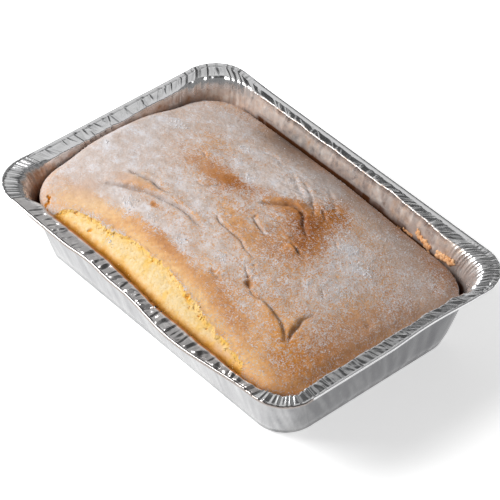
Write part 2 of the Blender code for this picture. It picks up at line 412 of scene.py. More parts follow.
def strip_share(x, y):
    """1 where the rim's strip has its full width, along the back and the left end, else 0."""
    back = smooth((y / HALF_WIDTH - 0.55) / 0.35)
    left = smooth((-x / HALF_LENGTH - 0.6) / 0.35) * ramp(y, -62 * MM, -30 * MM)
    return np.maximum(back, left)


def flange_row(share, inset, rise):
    """A ring of the flange: how far out it is, how far in from there, and its height on the rim."""
    x, y = outline(mix(MOUTH_BOX, RIM_BOX, share), mix(MOUTH_RADII, RIM_RADII, share))
    full = strip_share(x, y)
    inset = inset * (1 - share + share * (NARROW_STRIP + (1 - NARROW_STRIP) * full))
    across_x, across_y = np.roll(y, -1) - np.roll(y, 1), np.roll(x, 1) - np.roll(x, -1)
    length = np.hypot(across_x, across_y)
    x, y = x - inset * across_x / length, y - inset * across_y / length
    left = smooth((-x / HALF_LENGTH - 0.6) / 0.35)
    lift = left * (LEFT_MOUTH_LIFT + (LEFT_RIM_LIFT - LEFT_MOUTH_LIFT) * share)
    lift = lift - left * share * LEFT_STRIP_SLOPE * np.minimum(inset, STRIP_WIDTH)
    foot = np.exp(-((inset - 1.25 * MM) / (0.35 * MM)) ** 2) * (1 - full) * share
    x, y = bowed_mouth(x, y, y / HALF_WIDTH, 1 - share)
    x, y = dented_mouth(x, y, 1 - share)
    x, y = bowed_rim(x, y, share)
    return np.stack([x, y, RIM_HEIGHT + rise + lift - NARROW_GROOVE * foot], 1)


def foil_rows():
    """Rings of the foil from the base out to the end of the rim's curl.

    Each comes with how high up the wall it is, how far out on the flange, and how much it
    belongs to the mouth's edge, from 0 to 1. The flange's share goes on above 1 on the strip.
    """
    rows = [(wall_row(FOIL / 2, inset), 0.0, 0.0, 0.0) for inset in (45 * MM, 12 * MM)]
    for turn in np.radians((80, 55, 30)):
        height = FILLET * (1 - math.sin(turn)) + FOIL / 2
        rows.append((wall_row(height, FILLET * (1 - math.cos(turn)) * 0.8), 0.0, 0.0, 0.0))
    top = RIM_HEIGHT + MOUTH_LIFT - MOUTH_ROUND
    for t in np.linspace(0.06, 1, 13) ** 0.7:
        rows.append((wall_row(FILLET + (top - FILLET) * t), t, 0.0, t ** 8))
    for turn in np.radians((18, 40, 60, 80)):
        rise = MOUTH_LIFT - MOUTH_ROUND * (1 - math.sin(turn))
        rows.append((flange_row(0, -MOUTH_ROUND * (1 - math.cos(turn)), rise), 1.0, 0.0, 1.0))
    inner = flange_row(0, -MOUTH_ROUND, MOUTH_LIFT)
    foot = flange_row(1, STRIP_WIDTH + 0.2 * MM, STRIP_RISE)
    for share in (0.05, 0.16, 0.3, 0.45, 0.6, 0.75, 0.9, 1.0):
        rows.append((inner + (foot - inner) * share, 1.0, share * 0.98, (1 - share) ** 2))
    for k, (inset, rise) in enumerate(BEAD_PROFILE):
        rows.append((flange_row(1, (inset + 0.2) * MM, STRIP_RISE + rise * MM), 1.0, 1.0 + 0.05 * k, 0.0))
    return rows


def soften_mouth(points, wall, flange):
    """Rounds off the mouth's edge at the corners."""
    softness = np.zeros(points.shape[1])
    for section, amount in CORNER_SOFTNESS:
        softness = np.maximum(softness, amount * near_section(section, 12 * MM, 12 * MM))
    softness = softness * ((wall > 0.8) & (flange < 0.7))
    for _ in range(50):
        middle = (np.roll(points, 1, 0) + np.roll(points, -1, 0)) / 2
        points = points + 0.5 * softness[..., None] * (middle - points)
    return points


def tents(along, across, pitch, narrow, wide, lean, seed):
    """Folds with flat sides across the rim, each with its own place, width, lean and depth."""
    cell = np.floor(along / pitch).astype(np.int64)
    total = 0
    for step in (-1, 0, 1):
        k = cell + step
        centre = (k + 0.15 + 0.7 * hashed(k, 0, 0, seed)) * pitch
        centre = centre + (hashed(k, 1, 0, seed) * 2 - 1) * lean * across
        half = narrow + (wide - narrow) * hashed(k, 2, 0, seed)
        depth = (0.35 + 0.65 * hashed(k, 3, 0, seed)) * np.where(hashed(k, 4, 0, seed) < 0.3, -0.7, 1)
        total = total + depth * np.clip(1 - np.abs(along - centre) / half, 0, 1)
    return total


def foil_relief(points, along, wall, flange, mouth):
    """How far the foil stands up or in from its plain shape."""
    x, y, z = points[..., 0], points[..., 1], points[..., 2]
    across = flange * 6 * MM
    on_flange = (flange > 0) * np.clip((1 - flange) / 0.12, 0, 1)
    on_rim = np.clip(on_flange + 0.8 * mouth, 0, 1)
    to_edge = np.clip((flange > 0) * (1.3 - flange) / 0.1 + mouth, 0, 1)
    on_wall = np.clip((wall - 0.35) / 0.65, 0, 1) ** 1.3 * (flange == 0)
    relief = np.zeros(x.shape)
    corners = np.zeros(x.shape[1])
    for seed, (section, pitch, wall_depth, rim_depth, before, after) in enumerate(CORNER_PLEATS):
        near = near_section(section, before, after)
        corners = np.maximum(corners, near)
        pleats = tents(along, across, pitch, 0.36 * pitch, 0.62 * pitch, 0.12, 200 + seed)
        relief += near * wall_depth * on_wall * (pleats - 0.3)
        relief += near * rim_depth * to_edge * (pleats - 0.5)
    front, right, back, left = (near_section(k, 1 * MM, 1 * MM) * (1 - corners) for k in (0, 2, 4, 6))
    bulge = front * ramp(x, -52 * MM, -22 * MM)
    strokes = front * ramp(x, -78 * MM, -70 * MM) * (1 - ramp(x, -58 * MM, -50 * MM))
    for part, depth, pitch, narrow, wide, lean, seed in (
            (bulge, 0.95, 4.2, 0.8, 2.4, 0.45, 211), (strokes, 0.80, 2.7, 0.5, 1.2, 0.3, 212),
            (right, 0.36, 5.4, 0.7, 2.2, 0.6, 215), (right, 0.16, 2.3, 0.5, 1.1, 0.5, 235)):
        relief += on_rim * part * depth * MM * tents(along, across, pitch * MM, narrow * MM, wide * MM, lean, seed)
    bars = back * ramp(x, -66 * MM, -58 * MM) * (1 - ramp(x, 66 * MM, 74 * MM))
    slats = tents(along, across, 4.6 * MM, 0.5 * MM, 1.5 * MM, 0.45, 213)
    relief += (on_flange + 0.7 * mouth) * bars * 0.6 * MM * slats
    streaks = tents(along, across, 3.4 * MM, 0.5 * MM, 1.5 * MM, 0.4, 214)
    streaks = streaks * (0.25 + 0.5 * np.exp(-((y + 17 * MM) / (14 * MM)) ** 2) + 0.3 * ramp(y, 10 * MM, 40 * MM))
    relief += np.clip(to_edge + mouth, 0, 1) * (flange < 1.1) * left * MM * streaks
    rough = 0.09 + 0.22 * right + 0.42 * front
    relief += on_flange * rough * MM * layered(x, y, z, 2.4 * MM, 216, 3)
    flutes = 0.6 * noise(along, 0, z * 0.12, 5.5 * MM, 217) + noise(along, 0, z * 0.12, 15 * MM, 218)
    ribs = 1.1 * noise(along + 0.35 * z, 0, 0, 4.6 * MM, 223)
    flat_wall = (flange == 0) * (1 - mouth) * ramp(wall, 0, 0.15)
    relief += flat_wall * flutes * MM * (0.20 * back + 0.28 * right + 0.20 * left + 0.05 * front + 0.2 * corners)
    relief += flat_wall * ribs * MM * (0.48 * right + 0.14 * back)
    creases = tents(along, wall * 20 * MM, 3.2 * MM, 0.5 * MM, 1.3 * MM, 0.5, 224) * ramp(wall, 0.45, 0.95)
    relief += flat_wall * creases * MM * (0.26 * back + 0.28 * left + 0.3 * near_section(3, 12 * MM, 4 * MM))
    relief += flat_wall * 0.07 * MM * layered(x, y, z, 5 * MM, 219, 4)
    notch = np.clip(1 - np.abs(x + 72 * MM + (y - 69 * MM) * 0.5) / (1.6 * MM), 0, 1)
    notch = notch * np.clip(1 - np.abs(y - 69.4 * MM) / (1.7 * MM), 0, 1) * on_flange
    return relief - 0.9 * MM * notch


def surface_normals(points):
    """Unit normals of rings of points, facing into the tray and up."""
    around = np.roll(points, -1, 1) - np.roll(points, 1, 1)
    up = np.gradient(points, axis=0)
    normal = np.cross(up, around)
    return normal / np.maximum(np.linalg.norm(normal, axis=2, keepdims=True), 1e-12)


def foil_material(name, inside):
    """Thin aluminium foil, satin, with fine dents, painted streaks and painted shade. Inside it has a thin film of fat
    and sugar.
    """
    n = Nodes(name)
    patches = n.noise(9 * MM, 3)
    rough = n.spread(patches, 0.3, 0.7, 0.18, 0.27)
    dents = n.bump(n.noise(1.4 * MM, 3, 0.6), 0.05 * MM, 0.7)
    if not inside:
        # The outside is darkened in painted streaks that stand in for the creased foil's reflections, and at the right
        # end by painted shade.
        shade = n.math("ADD", n.spread(patches, 0.3, 0.7, 0.3, 0.6), n.mark("streak"), clamp=True)
        colour = n.blend(shade, (0.22, 0.22, 0.23, 1), (0.51, 0.51, 0.51, 1))
        return n.finish(Base_Color=colour, Metallic=1.0, Roughness=rough, Normal=dents)
    colour = n.blend(n.spread(patches, 0.35, 0.7), (0.78, 0.78, 0.79, 1), (0.86, 0.86, 0.86, 1))
    uneven = n.math("ADD", n.spread(n.noise(3.2 * MM, 4, 0.65), 0.3, 0.7, 0.25, 0.9), n.mark("streak"))
    cover = n.math("MAXIMUM", n.math("MULTIPLY", n.mark("film"), uneven, clamp=True), n.mark("low"))
    tint = n.steps(n.noise(5 * MM, 4, 0.6), (0.32, linear(184, 146, 116)), (0.5, linear(216, 192, 174)),
                   (0.66, linear(236, 227, 219)))
    tint = n.blend(n.mark("warm"), tint, linear(196, 146, 108))
    # Dark brown below the baked line: partly cake baked on to the wall, partly painted shade of the gap between the
    # sponge and the wall.
    tint = n.blend(n.mark("low"), tint, linear(86, 46, 16))
    # Painted shade darkens the outer edge of the rim's curl and the front flange.
    colour = n.blend(n.mark("hem"), n.blend(cover, colour, tint), (0.34, 0.30, 0.28, 1))
    colour = n.blend(n.mark("stain"), colour, linear(172, 106, 40))
    cover = n.math("MAXIMUM", cover, n.mark("stain"))
    rough = n.math("ADD", rough, n.math("MULTIPLY", cover, 0.26))
    metal = n.math("SUBTRACT", 1.0, n.math("MULTIPLY", cover, 0.8))
    return n.finish(Base_Color=colour, Metallic=metal, Roughness=rough, Normal=dents)


def build_foil():
    rows = foil_rows()
    points = np.array([row[0] for row in rows])
    wall, flange, mouth = (np.array([row[k] for row in rows])[:, None] for k in (1, 2, 3))
    along = np.broadcast_to(rim_distance()[0][None, :], points.shape[:2])
    sideways = np.roll(points[..., :2], -1, 1) - np.roll(points[..., :2], 1, 1)
    sideways /= np.linalg.norm(sideways, axis=2, keepdims=True)
    ragged = mouth * MM * (0.45 * noise(along, 0, 0, 9 * MM, 221) + 0.18 * noise(along, 0, 0, 2.8 * MM, 222))
    points[..., 0] += sideways[..., 1] * ragged
    points[..., 1] -= sideways[..., 0] * ragged
    points = soften_mouth(points, wall, flange)
    normal = surface_normals(points)
    points = points + normal * foil_relief(points, along, wall, flange, mouth)[..., None]
    points = points + MOULD
    margin = np.array([0.15 * MM] * 3)
    points = np.clip(points, np.array(TRAY_LOW) + margin, np.array(TRAY_HIGH) - margin)
    count = points.shape[1]
    height = points[..., 2] / MM
    back_left = near_section(5, 22 * MM, 11 * MM)[None, :]
    back = near_section(4, 1 * MM, 1 * MM)[None, :]
    clean_above = 41.5 - 5.5 * back_left + 0.5 * back
    film = (1 - smooth((height - clean_above) / (2 + 3 * back_left + 6 * back))) * (flange == 0)
    film = np.maximum(film, 0.6 * (mouth > 0.9) * near_section(0, 1 * MM, 1 * MM)[None, :])
    warm = 0.75 * near_section(6, 10 * MM, 20 * MM)[None, :] + 0 * height
    x = points[..., 0]
    baked_x, baked_height = zip(*BAKED_LINE)
    # Below this line the wall is painted dark brown: partly cake baked on to it, partly painted shade of the gap
    # between the sponge and the wall.
    dark_below = 29.5 + back * (np.interp(x / MM, baked_x, baked_height) - 29.5)
    low = ramp(dark_below + 0.8 * noise(along, 0, 0, 4 * MM, 226) - height, -0.8, 1.2)
    front = near_section(0, 1 * MM, 1 * MM)[None, :]
    stain = front * ramp(x, -75 * MM, -60 * MM) * (mouth > 0.1) * (1 - ramp(flange, 0.05, 0.2))
    film = film * (1 - 0.55 * near_section(3, 4 * MM, 4 * MM)[None, :])
    # Painted shade: the outer edge of the rim's curl along the front and the front right corner, and the whole front
    # flange.
    hem = (front + near_section(1, 1 * MM, 1 * MM)[None, :]) * ramp(x, -85 * MM, -65 * MM)
    hem = hem * ramp(flange, 1.1, 1.25)
    hem = np.maximum(hem, front * (flange > 0.2) * (0.45 + 0.25 * ramp(x, 20 * MM, 80 * MM)))
    # Painted dark streaks for the creased foil's reflections, and painted shade that darkens the right end's wall more
    # towards the back; inside they also break up the film.
    streak = 0.5 * layered(along + 0.3 * points[..., 2], 0, points[..., 2] * 0.12, 3.4 * MM, 225, 3, 0.6)
    right = near_section(2, 1 * MM, 12 * MM)[None, :]
    streak = streak - right * (flange == 0) * (0.3 + 0.45 * ramp(points[..., 1], -50 * MM, 40 * MM))
    piece = make_mesh("foil_tray_sheet", points.reshape(-1, 3), ring_quads(len(rows), count),
                      [foil_material("foil_outside", False), foil_material("foil_inside", True)],
                      np.arange(count)[::-1])
    add_marks(piece, film=film, streak=streak, low=low, warm=warm, hem=hem, stain=stain)
    sheet = piece.modifiers.new("foil", "SOLIDIFY")
    sheet.thickness = FOIL
    sheet.offset = -1
    sheet.material_offset = 1
    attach(piece, "root")
    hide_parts("foil_tray")
    return piece


# ---------------------------------------------------------------- sponge

# The sponge rose highest against the middle of the left end.
BRIM_MIDDLE, BRIM_HALF, BRIM_DEPTH = -2 * MM, 28 * MM, 0.16
BRIM_RISE, BRIM_REACH = 4.2 * MM, 0.5 * MM
# Least gap between the sponge and the middle of the tray's wall.
WALL_GAP = 0.7 * MM

# Torn edge of the crust along the front, from left to right, in millimetres.
TEAR_ROUTE = ((-78, -68), (-71, -63), (-66, -59), (-62, -56), (-52, -54), (-42, -53), (-27, -50.5),
              (-19, -50), (-8, -50), (0, -50.5), (13, -52.5), (27, -55.5), (37, -57.5), (47, -59.5),
              (60, -61), (69, -63), (76, -69))
TEAR_DEPTH = 0.8 * MM
BIG_PORES = ((22, -54.6, 1.8), (34, -58.5, 0.8), (42, -60.5, 0.6), (-47, -58.5, 1.3))

# Folds in the crust: route in millimetres, then half-width and depth of the groove, height
# of the crest to the right of it and of the crest to the left of it, as one walks along it.
FOLDS = (
    (((-64.6, -35.8), (-61.2, -33), (-55, -30.5), (-48.9, -28), (-41.7, -25.3), (-33, -23), (-23, -22.1),
      (-11.7, -22.3), (-5, -23)), 1.0, 1.15, 0.0, 0.8),
    (((-62.8, -21.8), (-56.8, -20.4), (-49, -19.2), (-41.6, -19.2), (-34, -18.3)), 1.1, 1.15, 0.3, 0.3),
    (((-8.6, -12.2), (-3.4, -14.5), (1.1, -14.7), (6.5, -15), (11.5, -15.5), (16.1, -16.4)), 0.65, 1.2, 0.0, 0.45),
    (((13.1, -15.7), (19.6, -17.5), (23.8, -18.7), (27.5, -19.3)), 0.5, 0.35, 0.35, 0.0),
    (((4.6, 0.4), (8.7, -1.4), (13.2, -2.7), (18.3, -4.1)), 0.6, 1.0, 0.0, 0.3),
    (((27, -25.5), (31, -27), (35, -28.5)), 0.5, 0.5, 0.0, 0.2),
    (((39.5, -32.2), (43.9, -33.6), (48.6, -32.8), (53.3, -32)), 0.6, 0.6, 0.15, 0.1),
    (((46, -33), (49.5, -31.8), (56, -32.5), (62.5, -34), (68.4, -36.7), (75, -41)), 1.2, 0.9, 0.75, 0.0),
    (((76, -40.5), (72, -35.1), (70.4, -30.6), (69.7, -25.8), (71, -20)), 1.0, 1.0, 0.0, 0.6),
    (((-2, 9), (4.4, 15.6), (9.2, 20.1), (13.7, 21.3), (18.6, 18.9), (25.3, 14.1), (31.6, 9.2)), 1.1, 1.6, 0.2, 0.5),
    (((9, 32.5), (15.7, 27.8), (21.9, 22.9)), 0.9, 0.6, 0.0, 0.15),
    (((19, 30.5), (27.2, 25.8)), 0.8, 0.5, 0.0, 0.1),
    (((28.8, 1.6), (33.9, 1.5), (38.6, -0.1)), 0.6, 1.0, 1.1, 0.0),
    (((-52.9, 12.7), (-49.5, 14.3), (-44.6, 12.1)), 0.5, 0.4, 0.0, 0.35),
    (((-33.8, -3.2), (-28.7, -3.2), (-25.3, -0.4), (-23.5, 4.3)), 0.6, 0.5, 0.0, 0.25),
    (((18.1, -36.5), (22.1, -38.6), (25.3, -38.9)), 0.9, 0.5, 0.0, 0.2),
    (((-35.5, 40), (-26.7, 40.8), (-17, 39.4)), 1.3, 0.3, 0.0, 0.15),
    (((-10.8, 37.8), (-0.6, 32.6), (6.8, 28.6)), 1.2, 0.4, 0.0, 0.2),
    (((-5.5, 39.5), (6.3, 34.5), (14, 30)), 1.2, 0.35, 0.0, 0.2),
    (((7.6, 46), (18.5, 38.7), (25.5, 34.3)), 1.3, 0.35, 0.0, 0.15),
    (((60.7, -6.7), (63.3, -8.4), (66.5, -10.1)), 0.6, 0.35, 0.0, 0.1),
    (((40.8, 19.8), (45.4, 16.4)), 0.5, 0.45, 0.0, 0.2),
)
PITS = ((37, -30.2, 1.5, 2.4), (39, -31.2, 1.0, 1.2), (33.5, -28, 0.9, 0.9), (30, -21.5, 0.8, 0.7), (5, 1.4, 0.8, 0.7),
        (88, -3, 1.4, 0.4), (-34, -29, 0.9, 0.5), (20.5, -36.5, 1.0, 0.5))

# Oval patches: middle and half-sizes in millimetres, turn in degrees, strength. First where
# the crust is baked browner or less, then where powder lies thicker or thinner, and then
# where the powder is an even film.
BAKE_PATCHES = (
    (26, 34, 12, 8, -30, 0.26), (76, -42, 16, 9, -20, 0.06),
    (-30, 9, 20, 8, 0, 0.30), (-14, 13, 14, 6, 20, 0.20), (14, 16, 18, 9, -20, 0.22),
    (27, 18, 14, 12, -50, 0.36), (34, 5, 13, 8, -60, 0.30), (22, -6, 14, 7, -30, 0.20),
    (-34, -29, 3, 2, 0, 0.3), (-10, -42, 14, 4, -8, 0.20), (16, -46, 14, 4, -8, 0.1),
    (42, -48, 16, 6, -14, 0.22), (88, -30, 12, 34, 0, 0.22), (90, 20, 10, 26, 0, 0.15),
    (10, 58, 90, 9, -3, 0.30), (80, 50, 16, 14, 0, 0.25), (-62, -50, 22, 7, 20, -0.28), (-20, -48, 40, 5, 0, -0.26), (40, -55, 36, 4, -10, -0.30),
    (-56, -22, 14, 4, 12, -0.2), (78, -58, 12, 8, 0, -0.12),
)
SUGAR_PATCHES = (
    (-18, 17, 7, 5, 0, 0.35), (26, 34, 12, 8, -30, -0.42), (35, 10, 6, 6, 0, -0.18), (82, -3, 9, 14, 0, -0.40),
    (-34, -24, 7, 6, 0, 0.25),
    (76, -42, 16, 9, -20, -0.30), (56, -23, 6, 6, 0, -0.25),
    (-34, 7, 13, 5, 6, -0.55), (-23, 11, 8, 5, 10, -0.50), (-13, 13, 8, 4, 30, -0.25),
    (-52, 28, 16, 7, 10, -0.22), (-46, 10, 8, 5, 0, -0.2),
    (-18, 2, 9, 4, -10, -0.04), (-4, 6, 8, 4, 0, 0.0), (4, 16, 8, 5, 30, -0.40),
    (14, 20, 11, 7, 0, -0.50), (25, 22, 9, 9, -40, -0.60), (33, 12, 9, 9, -60, -0.50),
    (37, 2, 8, 7, -60, -0.45), (26, -4, 10, 8, -30, -0.30), (16, 6, 10, 6, 0, -0.22),
    (0, -8, 12, 5, -10, -0.28), (14, -11, 14, 5, -14, -0.32), (44, -8, 10, 8, 0, -0.1),
    (-34, -29, 2.4, 1.6, 0, -0.8), (-6, -42, 14, 3.5, -6, -0.62), (-30, -41, 10, 3, -4, -0.42),
    (20, -43, 16, 4, -10, -0.28), (44, -49, 20, 6, -16, -0.50), (-20, -47, 60, 3.5, 0, -0.85),
    (44, -55, 30, 4, -10, -0.8), (-66, -52, 14, 6, 24, -0.65), (-70, -42, 8, 5, 20, -0.25),
    (-56, -25, 12, 2.6, 12, -0.45), (76, -60, 22, 7, 0, -0.55), (92, -40, 6, 26, 0, -0.55),
    (97, 10, 5, 50, 0, -0.45), (58, -36, 8, 4, -10, -0.25), (70, -30, 6, 8, 0, -0.2),
    (-43, -36, 9, 4, 0, 0.55), (-29, -35, 10, 3, 0, 0.40), (-8, -36, 12, 3, -5, 0.42),
    (14, -30, 11, 4, -10, 0.25), (-20, 24, 16, 5, 8, 0.40), (-6, 27, 14, 6, -6, 0.45),
    (48, 20, 14, 9, 0, 0.42), (66, -1, 12, 14, 0, 0.30), (-77, 21, 12, 5, 30, 0.30),
    (-88, -15, 4, 2, 30, 0.45), (-38, 34, 14, 4, 8, 0.35), (-20, -12, 16, 5, -4, 0.30),
    (-44, -10, 12, 4, 4, 0.2), (12, 36, 20, 5, -14, 0.25), (58, 8, 16, 12, 0, 0.22),
    (60, -22, 18, 8, 0, 0.15), (8, -24, 16, 4, -8, 0.15),
)
WRINKLED = ((22, 14, 22, 14, -30, 0.8), (2, 34, 26, 9, -10, 0.7), (0, -4, 20, 8, 0, 0.5),
            (-40, -22, 30, 5, 4, 0.35), (55, -12, 24, 14, -10, 0.3))
FILM_PATCHES = (
    (76, -42, 18, 10, -20, -0.30), (26, 34, 12, 8, -30, -0.35),
    (-84, -10, 22, 44, 0, 0.85), (-60, -30, 18, 18, 0, 0.4), (-50, 46, 50, 12, 8, 0.6), (20, 52, 60, 12, -6, 0.75),
    (78, 44, 26, 18, 0, 0.65), (-70, -34, 18, 12, 20, 0.35), (92, 20, 10, 40, 0, 0.45),
    (66, 10, 24, 40, 0, 0.2), (-58, -4, 24, 12, 0, 0.3),
)


def place(u, v, box, radii):
    """Puts points (u, v) of a square, -1 to 1 each way, in a box with round corners."""
    left, right, front, back = box
    x = np.where(u > 0, u * right, -u * left)
    y = np.where(v > 0, v * back, -v * front)
    radius = np.choose((u > 0) + 2 * (v > 0), radii)
    centre_x = np.where(u > 0, right - radius, left + radius)
    centre_y = np.where(v > 0, back - radius, front + radius)
    dx, dy = x - centre_x, y - centre_y
    outside = (dx * u > 0) & (dy * v > 0)
    length = np.maximum(np.hypot(dx, dy), 1e-9)
    pull = np.where(outside, np.maximum(np.abs(dx), np.abs(dy)) / length, 1.0)
    return centre_x + dx * pull, centre_y + dy * pull


def sponge_box(height, inset):
    return grow(mix(BASE_BOX, MOUTH_BOX, height / RIM_HEIGHT), -inset)


TOP_BOX = sponge_box(EDGE_HEIGHT, CLEARANCE)


def shares(x, y):
    """How far a point lies from the middle to each side of the top, -1 to 1."""
    left, right, front, back = TOP_BOX
    return np.clip(x / np.where(x > 0, right, -left), -1, 1), np.clip(y / np.where(y > 0, back, -front), -1, 1)


def inside_distance(x, y):
    """Distance in from the outline of the top."""
    left, right, front, back = TOP_BOX
    side_x = np.where(x > 0, right - x, x - left)
    side_y = np.where(y > 0, back - y, y - front)
    radius = np.choose((x > 0) + 2 * (y > 0), SPONGE_RADII)
    dx, dy = radius - side_x, radius - side_y
    in_corner = (dx > 0) & (dy > 0)
    return np.maximum(np.where(in_corner, radius - np.hypot(dx, dy), np.minimum(side_x, side_y)), 0)


def edge_height(x, y):
    u, v = shares(x, y)
    corner = np.maximum(u, 0) ** 1.5 * np.maximum(v, 0) ** 1.5
    left_middle = np.maximum(-u, 0) ** 1.5 * (1 - v * v)
    brim = np.exp(-((y - BRIM_MIDDLE) / BRIM_HALF) ** 4 - (1 + u) / BRIM_DEPTH)
    return (EDGE_HEIGHT - EDGE_FALL_TO_BACK * v + EDGE_RISE_TO_RIGHT * u
            - EDGE_FALL_BACK_RIGHT * corner + EDGE_BULGE_LEFT * left_middle + BRIM_RISE * brim)


def plain_top(x, y):
    """Height of the sponge's top without its folds, and how far it is from its edge, 0 to 1."""
    u, v = shares(x, y)
    inside = inside_distance(x, y)
    shoulder = 1 - np.clip(inside / SHOULDER_WIDTH, 0, 1)
    dome = ((1 - u * u) * (1 - v * v)) ** DOME_FULLNESS * (1 - np.exp(-inside / (1.5 * MM)))
    height = edge_height(x, y) + SHOULDER_HEIGHT * np.sqrt(1 - shoulder ** 2) + DOME_HEIGHT * dome
    return height, 1 - shoulder ** 2


def settle(x, y):
    """Moves the outline out with the tray's bulging front and in where the sponge shrank."""
    u, v = shares(x, y)
    shrink = SHRINK * ramp(x, SHRINK_START, SHRINK_END) * np.maximum(v, 0) ** 3
    brim = np.exp(-((y - BRIM_MIDDLE) / BRIM_HALF) ** 4) * smooth((-u - 0.7) / 0.3)
    x = x - BRIM_REACH * brim
    return bowed_mouth(x, y - shrink, v, EDGE_HEIGHT / RIM_HEIGHT)


def smooth_route(route, steps=8):
    """A smooth line through the points of a route, in metres."""
    points = np.array(route, float) * MM
    padded = np.vstack([2 * points[0] - points[1], points, 2 * points[-1] - points[-2]])
    line = []
    for a, b, c, d in zip(padded, padded[1:], padded[2:], padded[3:]):
        for t in np.arange(steps) / steps:
            line.append(0.5 * (2 * b + (c - a) * t + (2 * a - 5 * b + 4 * c - d) * t ** 2
                               + (3 * b - a - 3 * c + d) * t ** 3))
    return np.array(line + [points[-1]])


def near_route(x, y, route):
    """Distance from a smooth line, minus on its right, and how far along it from 0 to 1."""
    line = smooth_route(route)
    nearest, side, along = np.full(np.shape(x), np.inf), np.ones(np.shape(x)), np.zeros(np.shape(x))
    for k, (a, b) in enumerate(zip(line, line[1:])):
        step = b - a
        dx, dy = x - a[0], y - a[1]
        t = np.clip((dx * step[0] + dy * step[1]) / (step @ step), 0, 1)
        distance = np.hypot(dx - t * step[0], dy - t * step[1])
        closer = distance < nearest
        nearest = np.where(closer, distance, nearest)
        side = np.where(closer, np.sign(step[0] * dy - step[1] * dx), side)
        along = np.where(closer, (k + t) / (len(line) - 1), along)
    return nearest * side, along


def crest(distance, width):
    """Profile of the raised side of a fold: it rises quickly from the groove and falls slowly."""
    reach = np.maximum(distance, 0) / width
    return reach * np.exp(1 - reach)


def folds(x, y):
    """Height of all the folds and pits, how bare of powder they are, and the painted shade in their grooves and pits.
    """
    height, bare, crease = np.zeros(np.shape(x)), np.zeros(np.shape(x)), np.zeros(np.shape(x))
    wobble_x = x + 0.6 * MM * noise(x, y, 0, 6 * MM, 81) + 0.25 * MM * noise(x, y, 0, 2 * MM, 83)
    wobble_y = y + 0.6 * MM * noise(x, y, 0, 6 * MM, 82) + 0.25 * MM * noise(x, y, 0, 2 * MM, 84)
    uneven = 1 + 0.5 * layered(x, y, 0, 5 * MM, 85, 2)
    for route, half_width, depth, right_crest, left_crest in FOLDS:
        width = half_width * MM
        reach = 6 * width + 9 * MM
        low, high = np.min(route, 0) * MM - reach, np.max(route, 0) * MM + reach
        near = (x > low[0]) & (x < high[0]) & (y > low[1]) & (y < high[1])
        distance, along = near_route(wobble_x[near], wobble_y[near], route)
        taper = np.minimum(1, np.minimum(along, 1 - along) * 5) ** 0.7 * uneven[near]
        groove = np.exp(-(np.abs(distance) / width) ** 1.6)
        right, left = (crest(side * distance, 1.2 * width + 1.0 * MM) for side in (-1, 1))
        height[near] += MM * taper * (right_crest * right + left_crest * left - depth * groove)
        bare[near] += 0.55 * taper * (right_crest * right ** 4 + left_crest * left ** 4)
        # Painted shade along each groove.
        crease[near] = np.maximum(crease[near], np.clip(taper * groove * depth, 0, 1))
    for px, py, radius, depth in PITS:
        pit = np.exp(-((wobble_x - px * MM) ** 2 + (wobble_y - py * MM) ** 2) / (radius * MM) ** 2)
        height -= depth * MM * pit
        bare += depth * pit
        crease = np.maximum(crease, np.clip(0.6 * depth * pit, 0, 1))
    return height, np.clip(bare, 0, 1), crease


def patches(x, y, table):
    """Adds up soft-edged oval patches."""
    total = np.zeros(np.shape(x))
    for px, py, along, across, turn, strength in table:
        turn = math.radians(turn)
        dx, dy = x / MM - px, y / MM - py
        a = (dx * math.cos(turn) + dy * math.sin(turn)) / along
        b = (dy * math.cos(turn) - dx * math.sin(turn)) / across
        total += strength * np.exp(-(a * a + b * b))
    return total


def tear_distance(x, y):
    """How far a point lies in front of the torn edge of the crust, which is ragged."""
    route = np.array(TEAR_ROUTE) * MM
    line = np.interp(x, route[:, 0], route[:, 1], left=-90 * MM, right=-90 * MM)
    rag = 1.6 * MM * layered(x, y, 0, 4.5 * MM, 91, 3, 0.7) + 1.0 * MM * layered(x, y, 0, 1.7 * MM, 92, 2, 0.7)
    return line - y + rag


